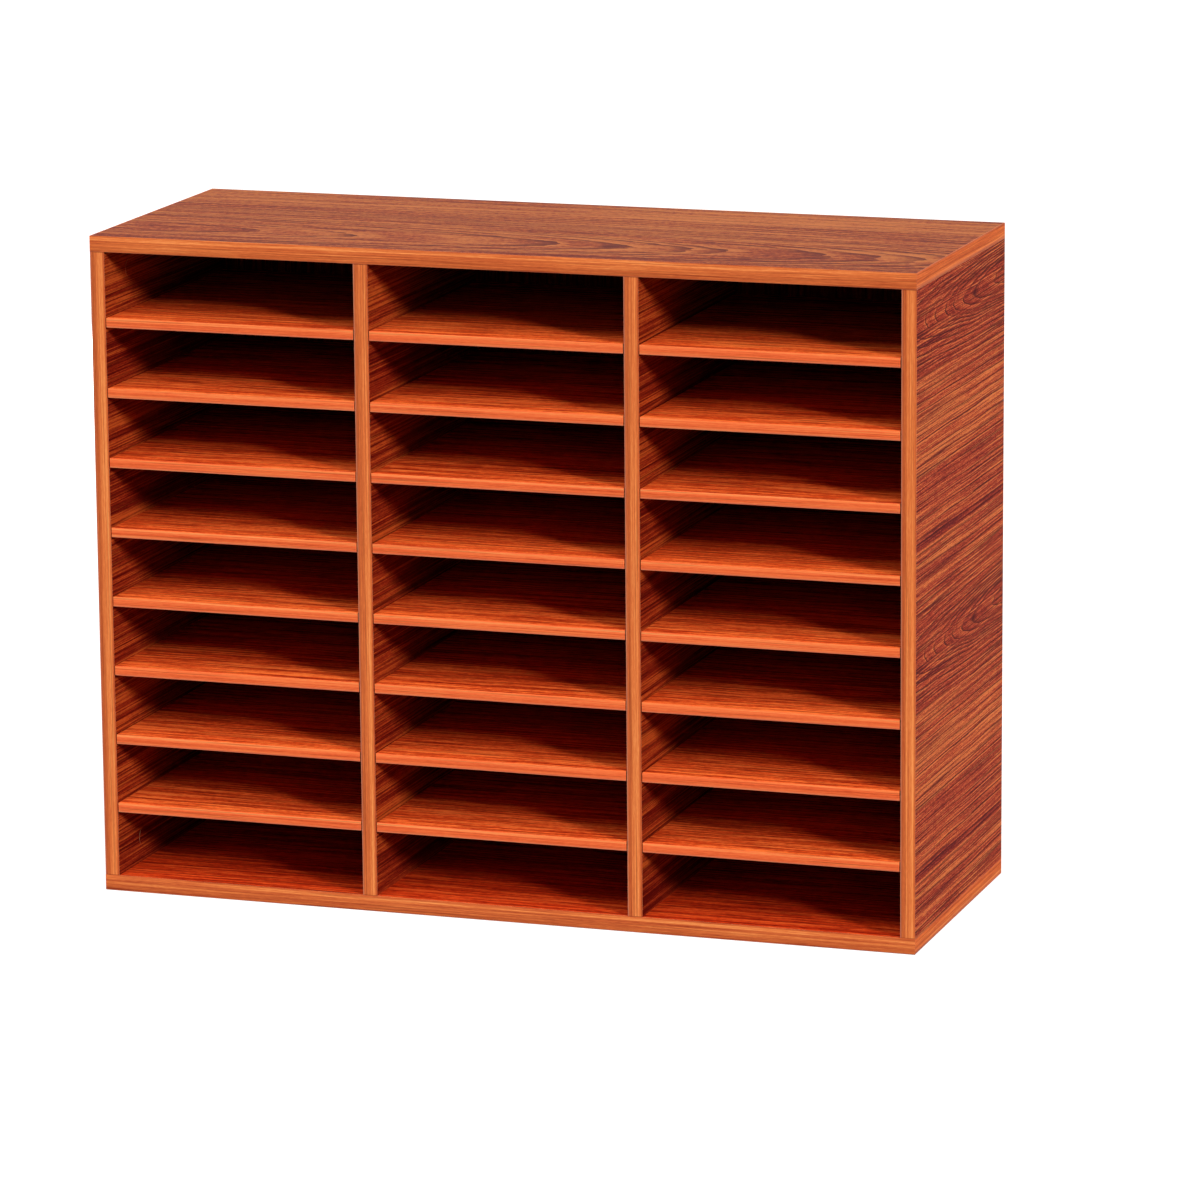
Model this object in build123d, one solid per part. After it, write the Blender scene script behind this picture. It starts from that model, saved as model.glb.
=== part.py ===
from build123d import *
import math
import os

# A literature organizer: three columns of compartments between four uprights,
# closed by a top and a bottom board and by thin back boards in grooves.
# Loose shelves rest on small moulded pins, and cam locks and dowels hold the case.
# Millimetres. The origin is the middle of the footprint at floor level;
# +X is to the right, +Y to the back, +Z up.

# Outside of the case
case_width = 800.0
case_depth = 305.0
case_height = 630.0

# Board thicknesses
panel_thickness = 15.0
upright_thickness = 14.0
shelf_thickness = 9.0
back_thickness = 3.0

# Edge bands glued on the cut edges that show
band_thickness = 1.0
band_bevel = 0.3

# Compartments
column_names = ["left", "middle", "right"]
rows = 9
shelf_end_gap = 1.0
shelf_back_gap = 0.5

# Grooves that hold the back boards
back_recess = 8.0
groove_depth = 4.5
groove_play = 0.1
groove_end_play = 0.5

# Round hardware repeats often, so it is drawn flat-sided, in holes with sides to match
pin_sides = 8
dowel_sides = 12
cam_sides = 16

# Shelf pins
pin_diameter = 5.0
pin_play = 0.05
pin_tip_gap = 0.5
pin_inset = 37.0
pin_head_width = 8.0
pin_head_reach = 9.0
pin_ledge = 2.0
pin_head_wall = 1.6
pin_axis_drop = 4.0
pin_head_foot = 3.6

# Cam locks in the side panels, two at each end
joint_inset = 60.0
cam_distance = 24.0
cam_diameter = 15.0
cam_height = 11.5
cam_play = 0.1
cam_bore_floor = 2.0
cam_wall = 1.9
cam_cap = 2.8
cam_turn = 140.0
recess_length = 7.0
recess_width = 1.5
recess_depth = 1.8

# Bolts that the cams pull on
head_diameter = 7.0
head_length = 2.5
head_play = 0.15
neck_diameter = 4.4
neck_play = 0.3
end_bore_diameter = 8.0
screw_diameter = 5.0
screw_length = 11.0
screw_play = 0.05
screw_tip_gap = 0.5

# Stickers over the cams
cover_margin = 1.5
cover_thickness = 0.4

# Fluted dowels at the ends of the dividers
dowel_diameter = 6.0
dowel_length = 30.0
dowel_in_panel = 10.0
dowel_play = 0.05
dowel_end_gap = 0.5

# Planes and spacings that follow from the sizes above
left = -case_width / 2
right = case_width / 2
front = -case_depth / 2
rear = case_depth / 2
floor_top = panel_thickness
ceiling = case_height - panel_thickness
columns = len(column_names)
column_width = (case_width - (columns + 1) * upright_thickness) / columns
row_pitch = (ceiling - floor_top) / rows
groove_width = back_thickness + 2 * groove_play
groove_rear = rear - back_recess
groove_front = groove_rear - groove_width
back_front = groove_front + groove_play
back_tongue = groove_depth - groove_end_play
shelf_rear = back_front - shelf_back_gap
bevel = min(band_bevel, band_thickness / 2)
pin_depth = upright_thickness / 2
pin_rows = [front + pin_inset, shelf_rear - pin_inset]
joint_rows = [front + joint_inset, rear - joint_inset]
cam_bore_depth = upright_thickness - cam_bore_floor
bolt_height = upright_thickness / 2 - cam_bore_floor
cavity_diameter = cam_diameter - 2 * cam_wall
cavity_apothem = cavity_diameter / 2 * math.cos(math.pi / cam_sides)
cover_diameter = cam_diameter + 2 * cover_margin
head_seat = math.sqrt((cavity_apothem - head_play) ** 2 - (head_diameter / 2) ** 2)


def block(x0, x1, y0, y1, z0, z1):
    """A square-cornered board between the given planes."""
    middle = Pos((x0 + x1) / 2, (y0 + y1) / 2, (z0 + z1) / 2)
    return middle * Box(x1 - x0, y1 - y0, z1 - z0)


def rod(diameter, start, end, sides):
    """A bar or a hole along the local Z axis, as wide across its corners as the diameter."""
    section = RegularPolygon(diameter / 2, sides)
    return Pos(0, 0, start) * extrude(section, end - start)


def sector(radius, angle, height):
    """A slice of a disc from local X round to the angle, at both sides of the XY plane."""
    steps = math.ceil(angle / 360 * cam_sides)
    turns = [math.radians(angle * step / steps) for step in range(steps + 1)]
    corners = [(radius * math.cos(turn), radius * math.sin(turn)) for turn in turns]
    outline = Polyline((0, 0), *corners, close=True)
    return extrude(make_face(outline), height / 2, both=True)


def long_edges(band, axis, side):
    """The long edges of a band's outer face, which get the bevel."""
    outer = band.faces().sort_by(axis)[side].edges()
    longest = max(edge.length for edge in outer)
    return outer.filter_by(lambda edge: edge.length > longest * 0.999)


def front_band(x0, x1, z0, z1):
    """The band on the front edge of a board."""
    band = block(x0, x1, front, front + band_thickness, z0, z1)
    return chamfer(long_edges(band, Axis.Y, 0), bevel)


def end_band(outside, z0, z1):
    """The band on the left or right end of the top or the bottom board."""
    inside = outside - math.copysign(band_thickness, outside)
    low, high = sorted([outside, inside])
    band = block(low, high, front + band_thickness, rear, z0, z1)
    return chamfer(long_edges(band, Axis.X, 0 if outside < 0 else -1), bevel)


def facing(x, y, z, across, up):
    """A place whose local Z points along X by across, and local X points up or down."""
    return Plane(origin=(x, y, z), x_dir=(0, 0, up), z_dir=(across, 0, 0)).location


def upright_name(index):
    """The name of an upright, counted from the left."""
    if index == 0:
        return "left_side_panel"
    if index == columns:
        return "right_side_panel"
    return f"divider_{column_names[index - 1]}_{column_names[index]}"


def upright_middle(index):
    """The middle plane of an upright."""
    return left + upright_thickness / 2 + index * (column_width + upright_thickness)


def shelf_faces(index):
    """The faces of an upright that look into a column, each with its direction."""
    half = upright_thickness / 2
    found = []
    if index > 0:
        found.append((upright_middle(index) - half, -1))
    if index < columns:
        found.append((upright_middle(index) + half, 1))
    return found


def shelf_bottom(row):
    """The underside of a shelf, counted from the bottom."""
    return floor_top + row * row_pitch - shelf_thickness / 2


def pin_places():
    """The depth and height of the pins on one face of an upright."""
    heights = [shelf_bottom(row) - pin_axis_drop for row in range(1, rows)]
    return [(y, z) for z in heights for y in pin_rows]


def pin_hole(x_from, x_to, y, z):
    """One hole for a pin's shaft."""
    hole = rod(pin_diameter + 2 * pin_play, 0, x_to - x_from, pin_sides)
    return facing(x_from, y, z, 1, 1) * hole


def pin_holes(index):
    """The holes of one upright, halfway in from each face that carries shelves."""
    faces = [x for x, across in shelf_faces(index)]
    ends = faces if len(faces) == 2 else [faces[0], upright_middle(index)]
    low, high = sorted(ends)
    return [pin_hole(low, high, y, z) for y, z in pin_places()]


def back_groove(x0, x1, z0, z1):
    """A groove for the back boards."""
    return block(x0, x1, groove_front, groove_rear, z0, z1)


def upright_grooves(index):
    """The grooves of one upright, from end to end."""
    cuts = []
    for x, across in shelf_faces(index):
        low, high = sorted([x, x - across * groove_depth])
        cuts.append(back_groove(low, high, floor_top, ceiling))
    return cuts


def side_joints():
    """The cam joints: inner face, direction, depth, joint plane and way to the panel."""
    sides = [shelf_faces(0)[0], shelf_faces(columns)[0]]
    ends = [(floor_top, -1), (ceiling, 1)]
    return [
        (x, across, y, plane, up)
        for x, across in sides
        for plane, up in ends
        for y in joint_rows
    ]


def cam_place(joint):
    """The middle of a cam bore's floor, with local X towards the panel."""
    x, across, y, plane, up = joint
    floor_x = x - across * cam_bore_depth
    return facing(floor_x, y, plane - up * cam_distance, across, up)


def cam_bores(joint):
    """The bore for a cam and the bore in the side panel's end for its bolt."""
    wide = rod(cam_diameter + 2 * cam_play, 0, cam_bore_depth, cam_sides)
    deep = Rot(0, 90, 0) * rod(end_bore_diameter, 0, cam_distance, cam_sides)
    place = cam_place(joint)
    return [place * wide, place * Pos(0, 0, bolt_height) * deep]


def cam_lock():
    """A cam turned home: the bolt's head lies behind its hooked slot."""
    slot = neck_diameter + 2 * neck_play
    entry = head_diameter + 2 * head_play
    body = rod(cam_diameter, 0, cam_height, cam_sides)
    body -= rod(cavity_diameter, 0, cam_height - cam_cap, cam_sides)
    at_bolt = Pos(0, 0, bolt_height)
    body -= at_bolt * sector(cam_diameter, cam_turn, slot)
    body -= at_bolt * Pos(cam_diameter / 2, 0, 0) * Box(cam_diameter, slot, slot)
    door = Pos(cam_diameter / 2, 0, 0) * Box(cam_diameter, entry, entry)
    body -= at_bolt * Rot(0, 0, cam_turn) * door
    for angle in (0, 90):
        bar = Box(recess_length, recess_width, 2 * recess_depth)
        body -= Pos(0, 0, cam_height) * Rot(0, 0, angle) * bar
    return body


def cam_bolt():
    """A bolt from its head in the cam, up its neck, to its screw in the panel."""
    screw_end = cam_distance + screw_length
    head = rod(head_diameter, head_seat - head_length, head_seat, cam_sides)
    neck = rod(neck_diameter, head_seat, cam_distance, cam_sides)
    screw = rod(screw_diameter, cam_distance, screw_end, cam_sides)
    return head + neck + screw


def bolt_place(joint):
    """The middle of a cam, with local Z towards the panel."""
    return cam_place(joint) * Pos(0, 0, bolt_height) * Rot(0, 90, 0)


def screw_hole(joint):
    """The hole in the top or bottom board that a bolt is screwed into."""
    end = cam_distance + screw_length + screw_tip_gap
    hole = rod(screw_diameter + 2 * screw_play, cam_distance, end, cam_sides)
    return bolt_place(joint) * hole


def cam_cover(joint):
    """The round sticker that hides a cam."""
    x, across, y, plane, up = joint
    place = facing(x, y, plane - up * cam_distance, across, up)
    return place * rod(cover_diameter, 0, cover_thickness, cam_sides)


def dowel_places():
    """The dowels' places, each with its local Z pointing into the panel."""
    found = []
    for index in range(1, columns):
        for plane, up in [(floor_top, -1), (ceiling, 1)]:
            for y in joint_rows:
                origin = (upright_middle(index), y, plane)
                found.append((index, Plane(origin=origin, z_dir=(0, 0, up)).location))
    return found


def dowel():
    """A fluted dowel across the joint plane."""
    start = dowel_in_panel - dowel_length
    return rod(dowel_diameter, start, dowel_in_panel, dowel_sides)


def dowel_hole():
    """Both halves of a dowel's hole."""
    start = dowel_in_panel - dowel_length - dowel_end_gap
    end = dowel_in_panel + dowel_end_gap
    return rod(dowel_diameter + 2 * dowel_play, start, end, dowel_sides)


def panel(z0, z1, groove_low, groove_high, up):
    """The top or the bottom board without its bands."""
    ends = (left + band_thickness, right - band_thickness)
    board = block(*ends, front + band_thickness, rear, z0, z1)
    cuts = [back_groove(*ends, groove_low, groove_high)]
    cuts += [screw_hole(joint) for joint in side_joints() if joint[4] == up]
    plane = ceiling if up > 0 else floor_top
    holes = [place for index, place in dowel_places() if place.position.Z == plane]
    cuts += [place * dowel_hole() for place in holes]
    return board - cuts


def upright_sides(index):
    """The planes of an upright's two faces."""
    half = upright_thickness / 2
    return (upright_middle(index) - half, upright_middle(index) + half)


def upright_band(index):
    """The band on the front edge of an upright."""
    return front_band(*upright_sides(index), floor_top, ceiling)


def upright(index):
    """A side panel or a divider without its band."""
    sides = upright_sides(index)
    board = block(*sides, front + band_thickness, rear, floor_top, ceiling)
    cuts = pin_holes(index) + upright_grooves(index)
    cuts += [place * dowel_hole() for at, place in dowel_places() if at == index]
    for joint in side_joints():
        if joint[0] in [x for x, across in shelf_faces(index)]:
            cuts += cam_bores(joint)
    return board - cuts


def shelf_pin():
    """A pin with its shaft in the wall and a wedge-shaped head under the shelf."""
    shaft_length = pin_depth - pin_tip_gap
    shaft = facing(0, 0, 0, -1, 1) * rod(pin_diameter, 0, shaft_length, pin_sides)
    outline = Polyline(
        (0, pin_axis_drop),
        (pin_head_reach, pin_axis_drop),
        (pin_head_reach, pin_axis_drop - pin_ledge),
        (pin_head_wall, -pin_head_foot),
        (0, -pin_head_foot),
        close=True,
    )
    side = Plane.XZ * make_face(outline)
    return shaft + extrude(side, pin_head_width / 2, both=True)


def shelf_pins():
    """All the pins, with their heads towards the columns."""
    pin = shelf_pin()
    placed = []
    for index in range(columns + 1):
        for x, across in shelf_faces(index):
            turn = Rot(0, 0, 0 if across > 0 else 180)
            placed += [Pos(x, y, z) * turn * pin for y, z in pin_places()]
    return placed


def shelf(column, row):
    """A loose shelf: its board and the band along its front."""
    middle = (upright_middle(column) + upright_middle(column + 1)) / 2
    half = column_width / 2 - shelf_end_gap
    low = shelf_bottom(row)
    high = low + shelf_thickness
    ends = (middle - half, middle + half)
    board = block(*ends, front + band_thickness, shelf_rear, low, high)
    return [board, front_band(*ends, low, high)]


def back_panel(column):
    """A back board with its four edges in the grooves."""
    low = upright_middle(column) + upright_thickness / 2 - back_tongue
    high = upright_middle(column + 1) - upright_thickness / 2 + back_tongue
    faces = (back_front, back_front + back_thickness)
    return block(low, high, *faces, floor_top - back_tongue, ceiling + back_tongue)


def save(name, solids):
    """Writes one named piece, or one group of like pieces, to its own file."""
    export_step(Compound(solids, label=name), f"parts/{name}.step")


os.makedirs("parts", exist_ok=True)

save("top_panel", [panel(ceiling, case_height, ceiling, ceiling + groove_depth, 1)])
save("bottom_panel", [panel(0, floor_top, floor_top - groove_depth, floor_top, -1)])
for board_name, z0, z1 in [("top", ceiling, case_height), ("bottom", 0, floor_top)]:
    save(f"{board_name}_front_band", [front_band(left, right, z0, z1)])
    save(f"{board_name}_left_band", [end_band(left, z0, z1)])
    save(f"{board_name}_right_band", [end_band(right, z0, z1)])

for index in range(columns + 1):
    save(upright_name(index), [upright(index)])
    save(f"{upright_name(index)}_band", [upright_band(index)])

for column, column_name in enumerate(column_names):
    save(f"back_panel_{column_name}", [back_panel(column)])
    for row in range(1, rows):
        save(f"shelf_{column_name}_{row}", shelf(column, row))

save("shelf_pins", shelf_pins())
save("cam_locks", [cam_place(joint) * cam_lock() for joint in side_joints()])
save("cam_bolts", [bolt_place(joint) * cam_bolt() for joint in side_joints()])
save("cam_covers", [cam_cover(joint) for joint in side_joints()])
save("dowels", [place * dowel() for index, place in dowel_places()])
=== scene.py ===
# %% [markdown]
# # A literature organizer in printed wood grain
#
# The object is a flat-pack cabinet: three columns of open compartments, with loose shelves
# that rest on small pins. Its boards are chipboard pressed between two printed films, and the
# edges that show are covered by glued bands.
#
# The imported model is loaded first. It is the frame that every piece is built on, so no place
# has to be guessed.

# %% Load the frame
import math

import bmesh
import bpy
from mathutils import Matrix, Vector


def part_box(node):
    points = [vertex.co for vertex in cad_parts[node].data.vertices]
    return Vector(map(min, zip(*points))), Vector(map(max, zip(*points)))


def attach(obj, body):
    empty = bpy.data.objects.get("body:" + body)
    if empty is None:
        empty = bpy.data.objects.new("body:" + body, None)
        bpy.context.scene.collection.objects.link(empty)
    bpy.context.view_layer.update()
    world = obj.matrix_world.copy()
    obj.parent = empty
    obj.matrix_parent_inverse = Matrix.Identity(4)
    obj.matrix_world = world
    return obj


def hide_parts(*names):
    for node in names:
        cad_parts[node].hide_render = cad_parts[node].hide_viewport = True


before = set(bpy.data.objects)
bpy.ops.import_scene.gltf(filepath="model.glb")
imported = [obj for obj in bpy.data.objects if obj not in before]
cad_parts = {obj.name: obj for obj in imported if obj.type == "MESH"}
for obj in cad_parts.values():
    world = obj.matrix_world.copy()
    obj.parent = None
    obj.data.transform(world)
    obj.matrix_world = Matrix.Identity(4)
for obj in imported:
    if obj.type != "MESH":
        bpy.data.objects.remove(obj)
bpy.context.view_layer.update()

scene = bpy.context.scene

# %% [markdown]
# ## The camera
#
# The camera stands far off with a long lens, as in a product picture, so that upright lines stay
# nearly upright. Its place was worked out from the corners of the cabinet, whose real distances
# are known. Aiming it at a point and then turning it a little about its own line of sight keeps
# each number easy to read.

# %% Camera
CAMERA_PLACE = Vector((1.8952, -5.4732, 1.5406))
CAMERA_TARGET = Vector((0.0478, 0.0002, 0.2781))
CAMERA_ROLL = math.radians(-0.473)
LENS = 187.9


def put(name, data):
    """Sets a camera, a lamp or a mesh in the scene as a new object."""
    made = bpy.data.objects.new(name, data)
    scene.collection.objects.link(made)
    return made


def make_camera():
    """A long lens, aimed and then rolled about its line of sight."""
    data = bpy.data.cameras.new("camera")
    data.lens = LENS
    camera = put("camera", data)
    aim = (CAMERA_TARGET - CAMERA_PLACE).to_track_quat("-Z", "Y").to_matrix().to_4x4()
    roll = Matrix.Rotation(CAMERA_ROLL, 4, "Z")
    camera.matrix_world = Matrix.Translation(CAMERA_PLACE) @ aim @ roll
    return camera


scene.camera = make_camera()
print("camera:", round((CAMERA_TARGET - CAMERA_PLACE).length, 2), "m from the cabinet")

# %% [markdown]
# ## Sums on sockets
#
# A material is a small program drawn as boxes and wires. Writing it as Python keeps it readable:
# the class below wraps one socket, and `+`, `-`, `*` and `/` on it each add one Math node. Every
# other node comes from a single method that takes its type, its settings and its sockets, in that
# order, because some settings change which sockets a node has.

# %% Values and trees
class Value:
    """One output socket that can be used in sums."""

    def __init__(self, tree, socket):
        self.tree = tree
        self.socket = socket

    def math(self, operation, *others):
        """This value and others, put through one Math node."""
        sockets = dict(enumerate([self, *others]))
        return self.tree.node("ShaderNodeMath", {"operation": operation}, sockets)

    def out(self, name):
        """Another output of the same node."""
        return Value(self.tree, self.socket.node.outputs[name])

    def rise(self, low, high):
        """0 at low, 1 at high, and a smooth slope between them."""
        settings = {"interpolation_type": "SMOOTHSTEP"}
        sockets = {"Value": self, "From Min": low, "From Max": high}
        return self.tree.node("ShaderNodeMapRange", settings, sockets)

    def __add__(self, other):
        return self.math("ADD", other)

    def __mul__(self, other):
        return self.math("MULTIPLY", other)

    def __sub__(self, other):
        return self.math("SUBTRACT", other)

    def __truediv__(self, other):
        return self.math("DIVIDE", other)

    def __rsub__(self, other):
        return self.tree.node("ShaderNodeMath", {"operation": "SUBTRACT"}, {0: other, 1: self})

    __radd__ = __add__


class Tree:
    """A node tree that nodes are added to, one call each."""

    def __init__(self, tree):
        self.tree = tree

    def node(self, kind, settings=None, sockets=None, out=0):
        """One node with its settings and sockets. What comes back is its output."""
        node = self.tree.nodes.new(kind)
        for name, value in (settings or {}).items():
            if name == "stops":
                set_stops(node.color_ramp, value)
            else:
                setattr(node, name, value)
        for key, value in (sockets or {}).items():
            if isinstance(value, Value):
                self.tree.links.new(value.socket, node.inputs[key])
            else:
                node.inputs[key].default_value = value
        return Value(self, node.outputs[out]) if len(node.outputs) else None


def set_stops(ramp, stops):
    """Gives a colour ramp its stops, each a place from 0 to 1 and a colour."""
    while len(ramp.elements) < len(stops):
        ramp.elements.new(1.0)
    for element, (place, colour) in zip(ramp.elements, stops):
        element.position = place
        element.color = colour


print("helpers: a value in a sum, and a tree that takes nodes")

# %% [markdown]
# ## Colours and noise
#
# Colours are written as the eye meets them on a screen, from 0 to 255, and turned into the even
# scale that light adds up on. Nearly all of the wood is made from one thing, smooth noise that is
# stretched along the grain, so it gets a helper of its own.

# %% Colour and noise helpers
def paint(red, green, blue):
    """A screen colour on the scale that light adds up on."""

    def even(part):
        return ((part + 0.055) / 1.055) ** 2.4 if part > 0.04 else part / 12.92

    return (*[even(part / 255) for part in (red, green, blue)], 1.0)


def noise(tree, place, stretch, seed, detail=2.0):
    """Smooth noise from 0 to 1, whose grains are as long each way as stretch says."""
    along, across, into = [part / size for part, size in zip(place, stretch)]
    point = tree.node("ShaderNodeCombineXYZ", sockets={0: along, 1: across, 2: into + seed})
    sockets = {"Vector": point, "Scale": 1.0, "Detail": detail}
    return tree.node("ShaderNodeTexNoise", sockets=sockets)


def blend(tree, share, first, second):
    """Two colours mixed, where share 0 is all the first."""
    return tree.node("ShaderNodeMix", {"data_type": "RGBA"}, {0: share, 6: first, 7: second}, out=2)


def ramp(tree, value, stops):
    """A colour for each value from 0 to 1. A stop is a place and a screen colour."""
    stops = [(place, paint(*colour)) for place, *colour in stops]
    return tree.node("ShaderNodeValToRGB", {"stops": stops}, {0: value})


def curve(tree, value, low, high, points):
    """A number for each value from low to high, along straight lines between the points."""
    top = max(number for place, number in points)
    stops = []
    for place, number in points:
        stops.append(((place - low) / (high - low), (number / top,) * 3 + (1.0,)))
    part = (value - low) / (high - low)
    return tree.node("ShaderNodeValToRGB", {"stops": stops}, {0: part}) * top


def new_material(name):
    """An empty material and its tree."""
    material = bpy.data.materials.new(name)
    material.use_nodes = True
    material.node_tree.nodes.clear()
    return material, Tree(material.node_tree)


GLOSS = 0.01
DULL = 0.006


def surface(tree, colour, roughness, height, depth, metallic=0.0, gloss=GLOSS):
    """Ends a material: its colour, its gloss, and a relief that is depth metres deep."""
    relief = {"Strength": 1.0, "Distance": depth, "Height": height}
    sockets = {
        "Base Color": colour,
        "Roughness": roughness,
        "Metallic": metallic,
        "Specular IOR Level": gloss,
        "Normal": tree.node("ShaderNodeBump", sockets=relief),
    }
    shader = tree.node("ShaderNodeBsdfPrincipled", sockets=sockets)
    tree.node("ShaderNodeOutputMaterial", sockets={"Surface": shader})


def board_space(tree, along, across):
    """A point in millimetres along the grain, across it and into the board, and the last axis."""
    point = tree.node("ShaderNodeTexCoord", out="Object")
    split = tree.node("ShaderNodeSeparateXYZ", sockets={0: point})
    into = (set("XYZ") - {along, across}).pop()
    return [split.out(axis) * 1000 for axis in (along, across, into)], into


def wrapped(value, pitch):
    """How far a value lies from the nearest of the marks that stand a pitch apart."""
    return value.math("WRAP", pitch / 2, -pitch / 2)


def facing(tree, axis):
    """How far a surface faces along an axis, from -1 to 1."""
    normal = tree.node("ShaderNodeTexCoord").out("Normal")
    return tree.node("ShaderNodeSeparateXYZ", sockets={0: normal}).out(axis)


print("orange brown of a band:", [round(part, 3) for part in paint(217, 110, 58)])

# %% [markdown]
# ## The cores: chipboard and hardboard
#
# Where no band was glued, the core shows: on the back edges of the boards, and on the ends of the
# loose shelves. Chipboard is coarse pale chips with dust between them, which cells of random
# shade give at once. Hardboard, behind the thin back boards, is pressed fibre, and looks like
# brown felt.

# %% Core colours
CHIPS_PER_MM = 0.6
CHIP_SHARE = 0.55
DUST = (0.5, 0.5, 0.5)
CHIP_STOPS = [(0.15, 146, 100, 62), (0.4, 196, 150, 102), (0.8, 228, 196, 148)]
FIBRES = (2.4, 1, 1)
FIBRE_SHARE = 0.6
CLOUDS = (60, 45, 40)
FELT_STOPS = [(0.32, 148, 98, 58), (0.68, 190, 142, 94)]


def chipboard(tree, place):
    """The cut edge of a board: pale chips of random shade, and dust."""
    cells = dict(enumerate(part * CHIPS_PER_MM for part in place))
    point = tree.node("ShaderNodeCombineXYZ", sockets=cells)
    chip = tree.node("ShaderNodeTexVoronoi", sockets={"Vector": point, "Scale": 1.0}, out="Color")
    shade = tree.node("ShaderNodeSeparateColor", sockets={0: chip})
    tone = shade * CHIP_SHARE + noise(tree, place, DUST, 5) * (1 - CHIP_SHARE)
    return ramp(tree, tone, CHIP_STOPS)


def hardboard(tree, place):
    """The bare back of a thin fibre board: short fibres, and broad clouds."""
    fibre = noise(tree, place, FIBRES, 2, 3)
    tone = fibre * FIBRE_SHARE + noise(tree, place, CLOUDS, 3) * (1 - FIBRE_SHARE)
    return ramp(tree, tone, FELT_STOPS)


print("cores: chipboard and hardboard")

# %% [markdown]
# ## The printed wood grain
#
# A log's growth rings are nested cones, and a flat cut through them shows long arches in the
# middle of the board and straight lines beside them. So the arches aren't drawn. For each point
# the distance to the heart of the log is worked out, from how far it lies aside of the heart and
# how wide the cone is there. Rings at set distances then run as arches by themselves.

# %% Growth rings
SWAY = (230, 1, 60)
STRAY = (70, 20, 60)


def growth(tree, place, log):
    """How far aside of the log's heart a point lies, and how far from it through the rings."""
    along, across, into = place
    seed = log["seed"]
    sway = (noise(tree, [along, 0, into], SWAY, seed, 1) - 0.5) * log["sway"]
    aside = across - log["heart"] + sway
    if "repeat" in log:
        aside = wrapped(aside, log["repeat"])
    cone = (along - log["tip"]) * log["taper"] * (1 - aside.math("ABSOLUTE").rise(0, log["reach"]))
    stray = (noise(tree, [along, aside, into], STRAY, seed + 1, 3) - 0.5) * log["wander"]
    return aside, (aside * aside + cone * cone).math("SQRT") + stray


def ring_edges(tree, far, log, jitter):
    """How many millimetres a point lies before one ring's dark edge and behind another's."""
    edges = log["rings"]
    pairs = list(zip(edges, edges[1:]))
    reach = edges[-1]
    count = curve(tree, far, 0, reach, list(zip(edges, range(len(edges)))))
    width = curve(tree, far, 0, reach, [((low + high) / 2, high - low) for low, high in pairs])
    part = (count + jitter).math("FRACT")
    return (1 - part) * width, part * width


print("growth: arches near the heart of the log, straight lines beside it")

# %% [markdown]
# ## The rest of the print
#
# Everything else runs straight along the board. A curve across the grain gives the broad tone,
# from dark red to golden orange. Noise, stretched along the grain in several lengths and widths,
# gives the streaks, the fibres and a few dark threads. Each ring darkens towards a sharp purple
# edge, as late wood does, and starts again bright behind it. A picture of wood would be quicker,
# but noise has no end and no seam, so no two boards have to be alike.

# %% Film print
PRINT_STEP = 50
RING_TONE_LENGTH = 600
RING_WAVER = 0.3
RING_SHADE = 0.08
FADE_GRAIN, FADE_RISE = (260, 9), (0.3, 0.55)
FAINTEST_RING = 0.3
THREAD_RISE = 0.1
PORE_GRAIN, PORE_RISE = (8, 0.5), (0.58, 0.7)


def film(tree, place, log, colours):
    """The printed picture of wood: a colour, and where its dark lines, pores and fibres lie."""

    def grain(point, length, width, number, detail=2.0):
        """Noise along the grain, which changes into the board so that no two boards match."""
        return noise(tree, point, (length, width, PRINT_STEP), log["seed"] + number, detail)

    along, _, into = place
    aside, far = growth(tree, place, log)
    cut = [along, aside, into]
    offset = aside.math("ABSOLUTE")

    width, share = log["ring tone"]
    tone = curve(tree, aside, *log["span"], log["tones"])
    tone = tone + (grain([along, far, into], RING_TONE_LENGTH, width, 3, 1) - 0.5) * share
    layers = []
    for index, (length, width, share) in enumerate(log["layers"]):
        layers.append(grain(cut, length, width, 10 + index) - 0.5)
        tone = tone + layers[-1] * share

    before, behind = ring_edges(tree, far, log, layers[0] * RING_WAVER)
    steep = (offset / far).math("MAXIMUM", log["blunt"])
    fade = grain(cut, *FADE_GRAIN, 4, 1).rise(*FADE_RISE)
    strength = fade * (1 - FAINTEST_RING) + FAINTEST_RING
    dark = (1 - (before / steep).rise(0, log["line width"])) * strength
    bright = (1 - (behind / steep).rise(0, log["line width"])) * strength
    if "nose" in log:
        ring, thick, reach = log["nose"]
        near = 1 - (far - ring).math("ABSOLUTE").rise(0, thick)
        dark = dark.math("MAXIMUM", near * (1 - offset.rise(0, reach)))
    colour = ramp(tree, tone + bright * log["glow"] - dark * RING_SHADE, colours["stops"])

    length, width, rare = log["thread"]
    thread = grain(cut, length, width, 6).rise(rare, rare + THREAD_RISE)
    share = (dark * colours["line share"]).math("MAXIMUM", thread * colours["thread share"])
    colour = blend(tree, share, colour, colours["line"])
    pore = grain(cut, *PORE_GRAIN, 5, 1).rise(*PORE_RISE)
    colour = blend(tree, pore * colours["pore share"], colour, colours["line"])
    return colour, dark, pore, layers[-1]


print("film: its streaks have changed after", PRINT_STEP, "mm into the board")

# %% [markdown]
# ## A board's material
#
# The film covers a board's two faces, and the core shows on its edges. One material can do both,
# because it knows which way each bit of surface faces. It also gives the film the faint relief of
# its pores and dark lines, as real printed film is pressed with them.

# %% Board material
OUTER_FACE = 399.0
FACE = 0.5
FILM_ROUGHNESS = 0.45
BARE_ROUGHER = 0.35
FIBRE_SHEEN = 0.1
PORE_DEPTH, LINE_DEPTH = 0.5, 0.3
FILM_RELIEF = 0.00003


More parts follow.
